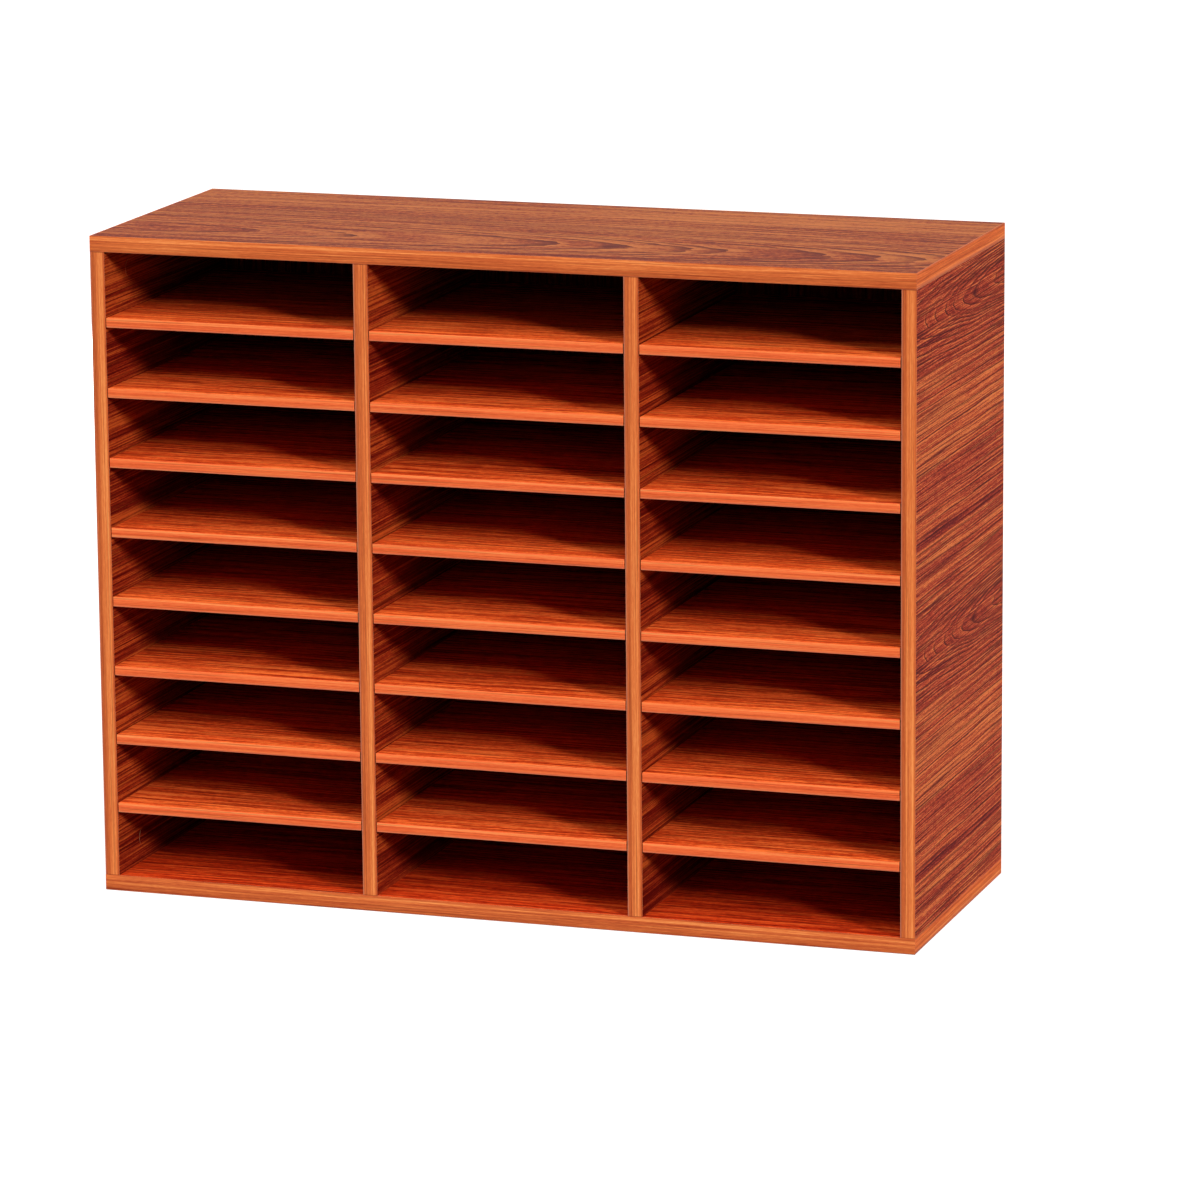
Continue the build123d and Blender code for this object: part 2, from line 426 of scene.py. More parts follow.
def board_material(name, along, across, log, colours, core=chipboard, lining=None, gloss=GLOSS):
    """A film on the faces of a board and its core on the edges.

    A lining is another film, for what lies nearer to the middle than the outer faces.
    """
    material, tree = new_material(name)
    place, into = board_space(tree, along, across)
    colour, dark, pore, fibre = film(tree, place, log, colours)
    if lining:
        inside = place[2].math("ABSOLUTE").math("LESS_THAN", OUTER_FACE)
        colour = blend(tree, inside, colour, film(tree, place, *lining)[0])
    side = facing(tree, into)
    covered = side.math("ABSOLUTE") if core is chipboard else side * -1
    bare = covered.math("LESS_THAN", FACE)
    colour = blend(tree, bare, colour, core(tree, place))
    roughness = bare * BARE_ROUGHER + fibre * FIBRE_SHEEN + FILM_ROUGHNESS
    relief = 1 - pore * PORE_DEPTH - dark * LINE_DEPTH
    surface(tree, colour, roughness, relief, FILM_RELIEF, gloss=gloss)
    print(name, "has", len(log["rings"]), "rings and", len(log["tones"]), "tones")
    return material


print("board: the outer faces of the case lie", OUTER_FACE, "mm or more from its middle")

# %% [markdown]
# ## The film of the top
#
# The top was cut through the side of a log: its arches point to the right, one behind the other,
# and the back half is straight.
#
# Each log is a handful of numbers in millimetres. The heart is where its middle lies across
# the board, and the tip is where its cones come to a point. The tones are steps of light and dark
# at places aside of the heart, and the rings are distances from it. A layer is the length, the
# width and the share of one kind of streak, and the thread is the length and width of the dark
# threads and how rare they are. The nose is one ring whose arch is filled in dark. A blunt of 1
# lets a line grow wide where it turns round its arch, and less keeps it thin there.

# %% Film of the top
TOP_LOG = {
    "seed": 11,
    "heart": -82,
    "sway": 14,
    "tip": -640,
    "taper": 0.105,
    "reach": 1000,
    "wander": 5,
    "ring tone": (8, 0.5),
    "blunt": 1,
    "nose": (77, 1.4, 30),
    "glow": 0.22,
    "layers": [(500, 12, 0.3), (420, 3.6, 0.95), (130, 4, 0.5), (16, 3.5, 0.25), (4, 3, 0.75)],
    "thread": (400, 3, 0.6),
    "span": (-80, 240),
    "tones": [
        (-80, 0.4), (-48, 0.44), (16, 0.45), (32, 0.48), (60, 0.47), (76, 0.51), (90, 0.54),
        (98, 0.52), (104, 0.41), (110, 0.5), (122, 0.5), (132, 0.46), (144, 0.43), (152, 0.5),
        (160, 0.56), (176, 0.61), (184, 0.6), (192, 0.54), (208, 0.54), (220, 0.49), (240, 0.49),
    ],
    "rings": [
        0, 24, 40, 50, 71, 78, 84.5, 88, 98.7, 103.4, 107.6, 113, 118, 122, 126, 131, 139, 150,
        158, 166, 176, 190, 205, 222, 240, 256,
    ],
    "line width": 3,
}
TOP_COLOURS = {
    "stops": [
        (0.22, 104, 33, 21), (0.38, 141, 58, 33), (0.52, 172, 88, 48), (0.68, 192, 112, 60),
    ],
    "line": paint(84, 26, 22),
    "line share": 0.9,
    "thread share": 0.6,
    "pore share": 0.3,
}
top_film = board_material("film_top", "X", "Y", TOP_LOG, TOP_COLOURS)

# %% [markdown]
# ## The outer film of the sides
#
# This film repeats every 308 mm, as printed film does, with a narrow nest of arches, a golden
# band, a dark red band and one nearly black line in each repeat.

# %% Outer film of the sides
SIDE_LOG = {
    "seed": 3,
    "heart": 274,
    "repeat": 308,
    "sway": 4,
    "tip": 397,
    "taper": 0.06,
    "reach": 150,
    "wander": 2.5,
    "ring tone": (1.8, 0.5),
    "blunt": 0.2,
    "nose": (21.3, 0.9, 9),
    "glow": 0.1,
    "layers": [(300, 4.5, 0.25), (260, 1.3, 0.75), (110, 0.9, 0.85), (16, 1, 0.55), (4, 0.8, 0.75)],
    "thread": (220, 1.4, 0.53),
    "span": (-154, 154),
    "tones": [
        (-154, 0.41), (-142, 0.41), (-138, 0.52), (-130, 0.52), (-126, 0.6), (-116, 0.51),
        (-102, 0.53), (-97, 0.62), (-90, 0.52), (-82, 0.56), (-78, 0.46), (-66, 0.47), (-57, 0.53),
        (-46, 0.41), (-20, 0.42), (0, 0.39), (34, 0.41), (40, 0.47), (62, 0.42), (66, 0.55),
        (78, 0.36), (86, 0.63), (90, 0.39), (98, 0.62), (102, 0.23), (107, 0.26), (112, 0.47),
        (134, 0.45), (154, 0.39),
    ],
    "rings": [
        0, 12, 17, 21.7, 23.6, 25.8, 27.4, 29.2, 31.3, 34, 37, 41, 46, 50, 55, 60, 66, 75, 82, 90,
        98, 108, 121, 130, 139, 146, 160,
    ],
    "line width": 2.2,
}
SIDE_COLOURS = {
    "stops": [
        (0.2, 102, 17, 17), (0.36, 160, 48, 29), (0.5, 199, 80, 44), (0.68, 232, 128, 68),
    ],
    "line": paint(70, 8, 10),
    "line share": 0.95,
    "thread share": 0.7,
    "pore share": 0.35,
}
print("a film that repeats every", SIDE_LOG["repeat"], "mm")

# %% [markdown]
# ## The lining of the uprights
#
# The inner faces of the uprights carry a darker, redder film that has only straight lines. Each
# side panel is one solid with both films on it, so one material holds the two, and tells them
# apart by how far a face lies from the middle of the case.

# %% Lining of the uprights
LINING_LOG = {
    "seed": 23,
    "heart": 0,
    "sway": 3,
    "tip": 0,
    "taper": 0,
    "reach": 1,
    "wander": 2,
    "ring tone": (3, 0),
    "blunt": 1,
    "glow": 0.12,
    "layers": [(300, 4.5, 0.5), (240, 1.6, 1.0), (60, 1, 0.6), (5, 0.8, 0.4)],
    "thread": (300, 1.4, 0.53),
    "span": (15, 615),
    "tones": [
        (15, 0.44), (40, 0.34), (60, 0.5), (92, 0.6), (104, 0.42), (114, 0.56), (126, 0.42),
        (156, 0.56), (166, 0.4), (184, 0.66), (200, 0.44), (236, 0.54), (250, 0.42), (300, 0.5),
        (328, 0.44), (357, 0.64), (366, 0.42), (400, 0.4), (424, 0.6), (436, 0.44), (448, 0.6),
        (470, 0.42), (520, 0.38), (560, 0.52), (588, 0.6), (615, 0.5),
    ],
    "rings": [
        0, 40, 62, 88, 104, 128, 150, 166, 196, 214, 244, 268, 290, 326, 350, 366, 400, 436, 470,
        520, 568, 584, 615,
    ],
    "line width": 1.6,
}
LINING_COLOURS = {
    "stops": [
        (0.2, 84, 12, 8), (0.36, 118, 29, 13), (0.5, 144, 46, 20), (0.68, 184, 80, 31),
    ],
    "line": paint(62, 6, 6),
    "line share": 0.7,
    "thread share": 0.65,
    "pore share": 0.3,
}
lining = (LINING_LOG, LINING_COLOURS)
side_film = board_material(
    "film_uprights", "Y", "Z", SIDE_LOG, SIDE_COLOURS, lining=lining, gloss=DULL
)

# %% [markdown]
# ## Films of the bottom, the shelves and the backs
#
# These are cut from straight-grained film. Their log's heart lies far off the board, so only
# straight lines are left. The noise changes with height and from column to column, so no two
# shelves match. The bottom board's film is redder. That of the backs is darker, as painted shade
# for the depth of the compartments. On its rear a back board is bare.

# %% Straight-grained films
STRAIGHT_LOG = {
    "seed": 40,
    "heart": 420,
    "sway": 10,
    "tip": -900,
    "taper": 0.03,
    "reach": 1000,
    "wander": 4,
    "ring tone": (6, 0.3),
    "blunt": 1,
    "glow": 0.12,
    "layers": [(260, 7, 0.5), (150, 4, 0.8), (50, 2.8, 0.7), (14, 2.2, 0.5), (5, 3, 0.45)],
    "thread": (70, 3.5, 0.55),
    "span": (-600, -200),
    "tones": [
        (-600, 0.45), (-540, 0.52), (-500, 0.42), (-460, 0.52), (-420, 0.45), (-360, 0.52),
        (-300, 0.44), (-200, 0.5),
    ],
    "rings": [0, 240, 290, 316, 350, 391, 420, 455, 470, 500, 520, 550, 566, 590, 610, 640],
    "line width": 3,
}
SHELF_COLOURS = {
    "stops": [
        (0.2, 149, 34, 14), (0.38, 202, 66, 23), (0.52, 232, 90, 36), (0.68, 252, 123, 55),
    ],
    "line": paint(104, 20, 12),
    "line share": 0.6,
    "thread share": 0.5,
    "pore share": 0.35,
}
BOTTOM_COLOURS = {
    **SHELF_COLOURS,
    "stops": [
        (0.2, 141, 24, 9), (0.38, 191, 48, 15), (0.52, 220, 66, 23), (0.68, 242, 94, 38),
    ],
}
# The backs' film is darkened as painted shade for the depth of the compartments.
BACK_PAINTED_SHADE_COLOURS = {
    **LINING_COLOURS,
    "stops": [
        (0.2, 76, 12, 7), (0.36, 98, 24, 11), (0.5, 116, 35, 15), (0.68, 136, 50, 21),
    ],
}
shelf_film = board_material("film_shelves", "X", "Y", STRAIGHT_LOG, SHELF_COLOURS)
bottom_film = board_material("film_bottom", "X", "Y", {**STRAIGHT_LOG, "seed": 55}, BOTTOM_COLOURS)
back_film = board_material(
    "film_backs", "Z", "X", {**STRAIGHT_LOG, "seed": 71}, BACK_PAINTED_SHADE_COLOURS, core=hardboard
)

# %% [markdown]
# ## Edge bands
#
# A band is a thin strip with its own print. Every strip of one kind is cut from the same roll, so
# the broad stripes lie at the same places across each: a bright line near the top of the long
# bands, and a dull side and a golden side on the uprights.
#
# In the tables below the marks are the place of one strip's middle and the distance to the next,
# in millimetres. The tones are steps across a strip, from its middle, and so is the pale, a painted
# highlight that stands in for light caught by the rounded edges. A fibre is the length, the width
# and the share of one kind of streak, and the seam is the middle of an upright band and half the
# length that shows.

# %% Band prints
BAND_STEP = 60
SHORT_FIBRES = [(300, 12, 0.16), (180, 2.6, 0.3), (110, 1, 0.5), (30, 0.6, 0.35), (6, 0.6, 0.25)]
RULED_FIBRES = [(600, 2.6, 0.15), (400, 1, 0.4), (120, 0.6, 0.35), (20, 0.7, 0.2), (5, 0.6, 0.2)]
FRONT_BAND = {
    "marks": (7.5, 615),
    "tones": [
        (-7.5, 0.35), (-6.5, 0.45), (-2, 0.46), (-1, 0.52), (0, 0.51), (1, 0.47), (2, 0.47),
        (3, 0.52), (3.9, 0.68), (4.9, 0.57), (6, 0.54), (7.5, 0.45),
    ],
    "pale": [(-7.5, 0.2), (-6.8, 0), (7.5, 0)],
    "fibres": SHORT_FIBRES,
    "stops": [
        (0.2, 154, 55, 31), (0.4, 203, 94, 50), (0.5, 218, 108, 57), (0.6, 234, 124, 64),
        (0.8, 255, 162, 92),
    ],
}
END_BAND = {
    "marks": (7.5, 615),
    "tones": [
        (-7.5, 0.3), (-6.5, 0.4), (-4.8, 0.53), (-3.7, 0.7), (-2.7, 0.58), (-1.5, 0.48), (1, 0.53),
        (5, 0.46), (7.5, 0.42),
    ],
    "pale": [(-7.5, 0.15), (-5.5, 0.1), (-3, 0), (6, 0), (7.5, 0.15)],
    "fibres": SHORT_FIBRES,
    "stops": [
        (0.2, 155, 52, 26), (0.4, 207, 91, 42), (0.5, 222, 104, 49), (0.6, 237, 119, 55),
        (0.8, 254, 150, 77),
    ],
}
UPRIGHT_BAND = {
    "marks": (131, 262),
    "tones": [
        (-7, 0.48), (-3.3, 0.44), (-2.3, 0.5), (-1.2, 0.57), (0, 0.59), (2.5, 0.6), (3.8, 0.66),
        (5, 0.6), (6, 0.5), (7, 0.36),
    ],
    "pale": [(-7, 0.45), (-6, 0.12), (-5, 0), (7, 0)],
    "fibres": RULED_FIBRES,
    "seam": (315, 299.3),
    "stops": FRONT_BAND["stops"],
}
SHELF_BAND = {
    "marks": (15, 200 / 3),
    "tones": [
        (-4.5, 0.46), (-2.7, 0.54), (-0.7, 0.45), (0.5, 0.45), (2.3, 0.56), (3.3, 0.62),
        (4.3, 0.55),
    ],
    "pale": [(-4.5, 0.3), (-3.5, 0.1), (-2.5, 0), (4.5, 0)],
    "fibres": RULED_FIBRES,
    "stops": [
        (0.2, 184, 61, 30), (0.4, 238, 99, 52), (0.5, 252, 115, 63), (0.6, 255, 132, 72),
        (0.8, 255, 159, 95),
    ],
}
print("band prints:", len(FRONT_BAND["tones"]), "stops across a long band")

# %% [markdown]
# ## A band's material
#
# Streaks of several widths run the length of the strip, with a few dark threads. Two small things
# make a band look glued on: a painted highlight, a pale line along its rounded edge where light
# would catch it, and a painted shadow line at its end, where it meets another band and a fine
# groove would be in shade. Both are painted, because a third of a millimetre is less than a dot of
# the picture.

# %% Band material
BAND_LINE = paint(128, 44, 26)
# The painted highlight: a pale colour laid along a band's rounded edges, where light would catch
# them.
BAND_HIGHLIGHT = paint(230, 173, 149)
BAND_THREAD = (140, 1.3, BAND_STEP)
BAND_THREAD_RISE = (0.58, 0.72)
BAND_THREAD_SHARE = 0.35
BAND_SHEEN = 0.08
BAND_ROUGHNESS = 0.38
BAND_RELIEF = 0.00002
# The painted shadow at a band's end, where it meets another band: its width in mm and its share.
SEAM_SHADOW_WIDTH = 0.4
SEAM_SHADOW_SHARE = 0.7


def band_material(name, along, across, band, seed, gloss=GLOSS):
    """Stripes at fixed places from the middle of each strip, and streaks that run along it."""
    material, tree = new_material(name)
    place = board_space(tree, along, across)[0]
    middle, pitch = band["marks"]
    aside = wrapped(place[1] - middle, pitch)
    low, high = band["tones"][0][0], band["tones"][-1][0]
    tone = curve(tree, aside, low, high, band["tones"])
    for index, (length, width, share) in enumerate(band["fibres"]):
        fibre = noise(tree, place, (length, width, BAND_STEP), seed + index, 1)
        tone = tone + (fibre - 0.5) * share
    thread = noise(tree, place, BAND_THREAD, seed + 9, 1)
    dark = thread.rise(*BAND_THREAD_RISE) * BAND_THREAD_SHARE
    # A painted shadow line at each end of an upright band, where it meets another band.
    if "seam" in band:
        centre, reach = band["seam"]
        end = (place[0] - centre).math("ABSOLUTE").rise(reach, reach + SEAM_SHADOW_WIDTH)
        dark = dark.math("MAXIMUM", end * SEAM_SHADOW_SHARE)
    colour = blend(tree, dark, ramp(tree, tone, band["stops"]), BAND_LINE)
    # The painted highlight: the pale colour along the rounded edges, as light caught there.
    colour = blend(tree, curve(tree, aside, low, high, band["pale"]), colour, BAND_HIGHLIGHT)
    roughness = fibre * BAND_SHEEN + BAND_ROUGHNESS
    surface(tree, colour, roughness, fibre, BAND_RELIEF, gloss=gloss)
    return material


band_x = band_material("band_lengthwise", "X", "Z", FRONT_BAND, 5)
band_y = band_material("band_front_to_back", "Y", "Z", END_BAND, 26, DULL)
band_z = band_material("band_upright", "Z", "X", UPRIGHT_BAND, 47)
band_shelf = band_material("band_shelves", "X", "Z", SHELF_BAND, 68)
print("bands:", band_x.name, band_y.name, band_z.name, band_shelf.name)

# %% [markdown]
# ## Dressing the boards
#
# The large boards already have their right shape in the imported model, with every groove and hole,
# so they stay. They only get the film that fits the way each was cut: lengthwise for the top and
# bottom, front to back for the uprights, and upright for the backs.

# %% Films on the boards
def dress(node, material):
    """Gives a board of the frame its material."""
    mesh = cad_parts[node].data
    mesh.materials.clear()
    mesh.materials.append(material)


UPRIGHTS = ["left_side_panel", "divider_left_middle", "divider_middle_right", "right_side_panel"]
COLUMNS = ["left", "middle", "right"]
dress("top_panel", top_film)
dress("bottom_panel", bottom_film)
for node in UPRIGHTS:
    dress(node, side_film)
for column in COLUMNS:
    dress(f"back_panel_{column}", back_film)
print("dressed boards:", 2 + len(UPRIGHTS) + len(COLUMNS))

# %% [markdown]
# ## Shapes grown by a rule
#
# A tree of Geometry Nodes holds a rule once, and grows a shape for any sizes that its named inputs
# are given. What it makes is turned into a plain mesh at once, so nothing live is left on the
# piece. Each kind of piece is measured, because only faces that point outwards give a volume above
# zero.

# %% Helpers for geometry
def new_geometry(name, inputs):
    """A geometry tree with named inputs."""
    group = bpy.data.node_groups.new(name, "GeometryNodeTree")
    for label, kind in inputs.items():
        group.interface.new_socket(label, in_out="INPUT", socket_type=f"NodeSocket{kind}")
    group.interface.new_socket("Geometry", in_out="OUTPUT", socket_type="NodeSocketGeometry")
    tree = Tree(group)
    return tree, tree.node("NodeGroupInput")


def end_geometry(tree, shape, material):
    """Ends a tree: real geometry with its material."""
    real = tree.node("GeometryNodeRealizeInstances", sockets={0: shape})
    dressed = tree.node("GeometryNodeSetMaterial", sockets={0: real, "Material": material})
    tree.node("NodeGroupOutput", sockets={0: dressed})
    return tree.tree


def grow(tree, name, sizes):
    """Runs a tree with these sizes and keeps what it makes as a plain mesh."""
    piece = put(name, bpy.data.meshes.new(name))
    modifier = piece.modifiers.new("grow", "NODES")
    modifier.node_group = tree
    for item in tree.interface.items_tree:
        if item.in_out == "INPUT":
            modifier[item.identifier] = sizes[item.name]
    graph = bpy.context.evaluated_depsgraph_get()
    mesh = bpy.data.meshes.new_from_object(piece.evaluated_get(graph), depsgraph=graph)
    piece.modifiers.clear()
    piece.data = mesh
    mesh.name = name
    return piece


def measured(piece):
    """A piece's sides in mm and its volume in mm3, which is above zero if its faces face out."""
    shape = bmesh.new()
    shape.from_mesh(piece.data)
    volume = shape.calc_volume(signed=True)
    shape.free()
    sides = " by ".join(str(round(side * 1000, 2)) for side in piece.dimensions)
    return f"{piece.name}: {sides} mm, {round(volume * 1e9)} mm3"


print("geometry helpers: trees, the pieces they grow, and a measure")

# %% [markdown]
# ## One rule for all strips
#
# Shelf boards and bands are all one shape, a bar with slightly rounded long edges, in different
# sizes. So one tree makes them all: a rectangle with rounded corners is swept along a line. A
# trial strip shows that it comes out in the sizes asked for.

# %% Strip tree
CORNER_POINTS = 3


def strip_tree():
    """A bar along X with rounded long edges."""
    inputs = dict.fromkeys(["Length", "Depth", "Height", "Corner"], "Float")
    tree, given = new_geometry("strip", {**inputs, "Material": "Material"})
    sheet = tree.node(
        "GeometryNodeCurvePrimitiveQuadrilateral",
        sockets={"Width": given.out("Depth"), "Height": given.out("Height")},
    )
    corner = {0: sheet, "Count": CORNER_POINTS, "Radius": given.out("Corner"), "Limit Radius": True}
    outline = tree.node("GeometryNodeFilletCurve", {"mode": "POLY"}, corner)
    half = given.out("Length") * 0.5
    ends = [tree.node("ShaderNodeCombineXYZ", sockets={0: half * sign}) for sign in (-1, 1)]
    line = tree.node("GeometryNodeCurvePrimitiveLine", sockets={"Start": ends[0], "End": ends[1]})
    sweep = {0: line, "Profile Curve": outline, "Fill Caps": True}
    bar = tree.node("GeometryNodeCurveToMesh", sockets=sweep)
    return end_geometry(tree, bar, given.out("Material"))


STRIP = strip_tree()
sizes = {"Length": 0.03, "Depth": 0.02, "Height": 0.01, "Corner": 0.001, "Material": band_x}
trial = grow(STRIP, "trial_strip", sizes)
print("a strip asked for as 30 by 20 by 10 mm is", measured(trial))
bpy.data.objects.remove(trial)

# %% [markdown]
# ## Bands of the case
#
# Each strip fills the box of its solid in the frame, so it is measured and not placed by eye. A
# strip is grown along X and then turned, if it runs to the back or upwards. Its long edges are
# rounded by 0.3 mm, as those of a real band are after trimming.

# %% Bands of the case
CASE = "case"
BAND_ROUND = 0.0003
BOARD_ROUND = 0.00025
TURNS = {
    "X": Matrix.Identity(4),
    "Y": Matrix.Rotation(math.radians(90), 4, "Z"),
    "Z": Matrix.Rotation(math.radians(90), 4, "Z") @ Matrix.Rotation(math.radians(-90), 4, "Y"),
}


def strip(name, low, high, along, corner, material):
    """A strip that fills a box, with its length along one axis."""
    turn = TURNS[along]
    length, depth, height = [abs(part) for part in turn.inverted().to_3x3() @ (high - low)]
    sizes = {"Length": length, "Depth": depth, "Height": height}
    piece = grow(STRIP, name, {**sizes, "Corner": corner, "Material": material})
    piece.data.transform(Matrix.Translation((low + high) / 2) @ turn)
    return piece


def settle(piece, body, nodes):
    """Tells the frame what a piece rides on and stands for."""
    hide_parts(*nodes)
    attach(piece, body)


case_bands = []
for level in ["top", "bottom"]:
    case_bands += [
        (f"{level}_front", "X", band_x),
        (f"{level}_left", "Y", band_y),
        (f"{level}_right", "Y", band_y),
    ]
case_bands += [(upright, "Z", band_z) for upright in UPRIGHTS]
for edge, along, material in case_bands:
    piece = strip(f"{edge}_edge", *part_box(f"{edge}_band"), along, BAND_ROUND, material)
    settle(piece, CASE, [f"{edge}_band"])
print(len(case_bands), "bands, of which", measured(piece))

# %% [markdown]
# ## Shelves
#
# A shelf is a thin board with a band glued along its front edge. Both fill the box of the one
# solid shelf between them, and both ride on that shelf's own body, so they slide out together.

# %% Shelves
BAND_DEPTH = 0.001
ROWS = 8
for column in COLUMNS:
    for row in range(1, ROWS + 1):
        node = f"shelf_{column}_{row}"
        low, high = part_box(node)
        split = low.y + BAND_DEPTH
        behind = Vector((low.x, split, low.z))
        before = Vector((high.x, split, high.z))
        board = strip(f"{node}_board", behind, high, "X", BOARD_ROUND, shelf_film)
        settle(board, node, [node])
        edge = strip(f"{node}_edge", low, before, "X", BAND_ROUND, band_shelf)
        settle(edge, node, [node])
print(len(COLUMNS) * ROWS, "shelves, of which", measured(board))

# %% [markdown]
# ## Small hardware
#
# Ninety-six pins, eight bolts, eight dowels and eight stickers are each one shape set down many
# times. One of each is modelled at the origin. A second Geometry Nodes tree then sets it down on
# points that carry the way to turn, and makes the copies real, because an export has no instances.

# %% Setting a shape down many times
def placing_tree():
    """Sets a shape down on every point, turned by the point's own angles."""
    inputs = {"Shape": "Object", "Places": "Object", "Material": "Material"}
    tree, given = new_geometry("placing", inputs)
    shape, places = [
        tree.node("GeometryNodeObjectInfo", sockets={"Object": given.out(label)}).out("Geometry")
        for label in ("Shape", "Places")
    ]
    vector = {"data_type": "FLOAT_VECTOR"}
    turn = tree.node("GeometryNodeInputNamedAttribute", vector, {"Name": "turn"})
    sockets = {"Points": places, "Instance": shape, "Rotation": turn}
    copies = tree.node("GeometryNodeInstanceOnPoints", sockets=sockets)
    return end_geometry(tree, copies, given.out("Material"))


def points(name, places):
    """A cloud of points, each with its three angles in an attribute."""
    mesh = bpy.data.meshes.new(name)
    mesh.from_pydata([place for place, turn in places], [], [])
    turns = mesh.attributes.new("turn", "FLOAT_VECTOR", "POINT")
    turns.data.foreach_set("vector", [angle for place, turn in places for angle in turn])
    return put(name, mesh)


def set_down(name, shape, places, material):
    """Copies of a shape at all the places, as one plain piece. The shape itself is removed."""
    cloud = points(f"{name}_places", places)
    piece = grow(PLACING, name, {"Shape": shape, "Places": cloud, "Material": material})
    for helper in (shape, cloud):
        bpy.data.objects.remove(helper)
    return piece


PLACING = placing_tree()
print("placing tree:", len(PLACING.nodes), "nodes")

# %% [markdown]
# ## Turned shapes
#
# Round parts are turned, as on a lathe: a profile of radius and height is carried round an axis.
# A dowel's flutes come from drawing every second corner of it a little nearer to the axis, and a
# bolt's thread is a row of ridges.

# %% Turning
def turned(name, profile, sides, flute=0.0):
    """A closed shape turned round Z, from pairs of radius and height in millimetres."""
    shape = bmesh.new()
    rings = []
    for radius, height in profile:
        ring = []
        for side in range(sides):
            angle = math.tau * side / sides
            reach = radius / 1000 - flute * (side % 2)
            corner = (reach * math.cos(angle), reach * math.sin(angle), height / 1000)
            ring.append(shape.verts.new(corner))
        rings.append(ring)
    for low, high in zip(rings, rings[1:]):
        for side in range(sides):
            after = (side + 1) % sides
            shape.faces.new((low[side], low[after], high[after], high[side]))
    shape.faces.new(reversed(rings[0]))
    shape.faces.new(rings[-1])
    return finished(name, shape)


def finished(name, shape):
    """Turns mesh work into an object whose faces point outwards."""
    bmesh.ops.recalc_face_normals(shape, faces=shape.faces)
    mesh = bpy.data.meshes.new(name)
    shape.to_mesh(mesh)
    shape.free()
    return put(name, mesh)


print("turning: from a profile in millimetres to a closed shape")

# %% [markdown]
# ## Shelf pins
#
# A pin is moulded in brown plastic. Its round shaft sits in the wall, and its wedge-shaped head
# carries the shelf on a flat top. Every edge of a moulding is a little round, so the wedge gets a
# narrow bevel. Pins stand in pairs under both ends of each shelf, so their places are measured
# from the shelves and the walls.

# %% Shape and places of the pins
PIN_WEDGE = [(0, 4.0), (9.0, 4.0), (9.0, 2.0), (1.6, -3.6), (0, -3.6)]
PIN_WIDTH = 8.0
PIN_SHAFT = [(2.0, -6.5), (2.5, -5.9), (2.5, 0.2)]
PIN_SIDES = 16
PIN_BEVEL = 0.0004
PIN_INSET = 0.037
PIN_DROP = 0.004


def pin_shape():
    """One pin with its shaft along -X and its head along +X, in metres."""
    shape = bmesh.new()
    outline = [Vector((x, -PIN_WIDTH / 2, z)) / 1000 for x, z in PIN_WEDGE]
    wedge = shape.faces.new([shape.verts.new(corner) for corner in outline])
    grown = bmesh.ops.extrude_face_region(shape, geom=[wedge])
    moved = [part for part in grown["geom"] if isinstance(part, bmesh.types.BMVert)]
    bmesh.ops.translate(shape, verts=moved, vec=(0, PIN_WIDTH / 1000, 0))
    bmesh.ops.bevel(
        shape, geom=shape.edges[:], offset=PIN_BEVEL, segments=2, profile=0.5, affect="EDGES"
    )
    shaft = turned("shaft", PIN_SHAFT, PIN_SIDES)
    shaft.data.transform(Matrix.Rotation(math.radians(90), 4, "Y"))
    shape.from_mesh(shaft.data)
    bpy.data.objects.remove(shaft)
    return finished("pin", shape)


def pin_places():
    """Both faces of every wall, at the height and the two depths of every shelf's pins."""
    found = []
    for column, walls in zip(COLUMNS, zip(UPRIGHTS, UPRIGHTS[1:])):
        sides = [(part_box(walls[0])[1].x, 0.0), (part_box(walls[1])[0].x, math.pi)]
        for row in range(1, ROWS + 1):
            low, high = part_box(f"shelf_{column}_{row}")
            for depth in (low.y + PIN_INSET, high.y - PIN_INSET):
                found += [((x, depth, low.z - PIN_DROP), (0, 0, turn)) for x, turn in sides]
    return found


print(len(pin_places()), "places for pins")

# %% [markdown]
# ## Plain finishes
#
# Plastic, metal and beech need no print on parts this small. Soft clouds between two near colours
# and fine specks are enough to keep them from looking painted.

# %% Plain finishes and the pins
SPECK = (0.5, 0.5, 0.5)
CLOUD_SHARE = 0.6
DARKEST, PALEST = 0.38, 0.62
SPECK_SHEEN = 0.15
FINE, COARSE = 0.00001, 0.00003


def plain_material(name, dark, pale, grain, roughness, depth, metallic=0.0):
    """A small part's finish: soft clouds of two colours, and a fine relief."""
    material, tree = new_material(name)
    place = board_space(tree, "X", "Y")[0]
    speck = noise(tree, place, SPECK, 2)
    tone = noise(tree, place, grain, 1, 3) * CLOUD_SHARE + speck * (1 - CLOUD_SHARE)
    colour = ramp(tree, tone, [(DARKEST, *dark), (PALEST, *pale)])
    surface(tree, colour, speck * SPECK_SHEEN + roughness, speck, depth, metallic)
    return material


pin_plastic = plain_material("pin_plastic", (96, 42, 26), (124, 58, 36), (4, 4, 4), 0.4, FINE)
pins = set_down("shelf_pins_moulded", pin_shape(), pin_places(), pin_plastic)
settle(pins, CASE, ["shelf_pins"])
print(len(pins.data.polygons), "faces,", measured(pins))

# %% [markdown]
# ## Bolts, dowels and stickers
#
# These hold the case together. The cams sit in the side panels and stay as the model made them,
# with the slot that grips a bolt's head. The bolts and dowels stand upright across the joints.
# A thin film sticker, printed like the panel, hides each cam. Their places follow from the faces
# of the walls, so they move with them.

# %% Places of the joints
JOINT_DEPTHS = (-0.0925, 0.0925)
CAM_DISTANCE = 0.024
joints = []
for wall in (UPRIGHTS[0], UPRIGHTS[-1]):
    low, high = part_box(wall)
    face, across = (high.x, 1) if low.x < 0 else (low.x, -1)
    for plane, up in ((low.z, -1), (high.z, 1)):
        joints += [(face, across, (low.x + high.x) / 2, depth, plane, up) for depth in JOINT_DEPTHS]

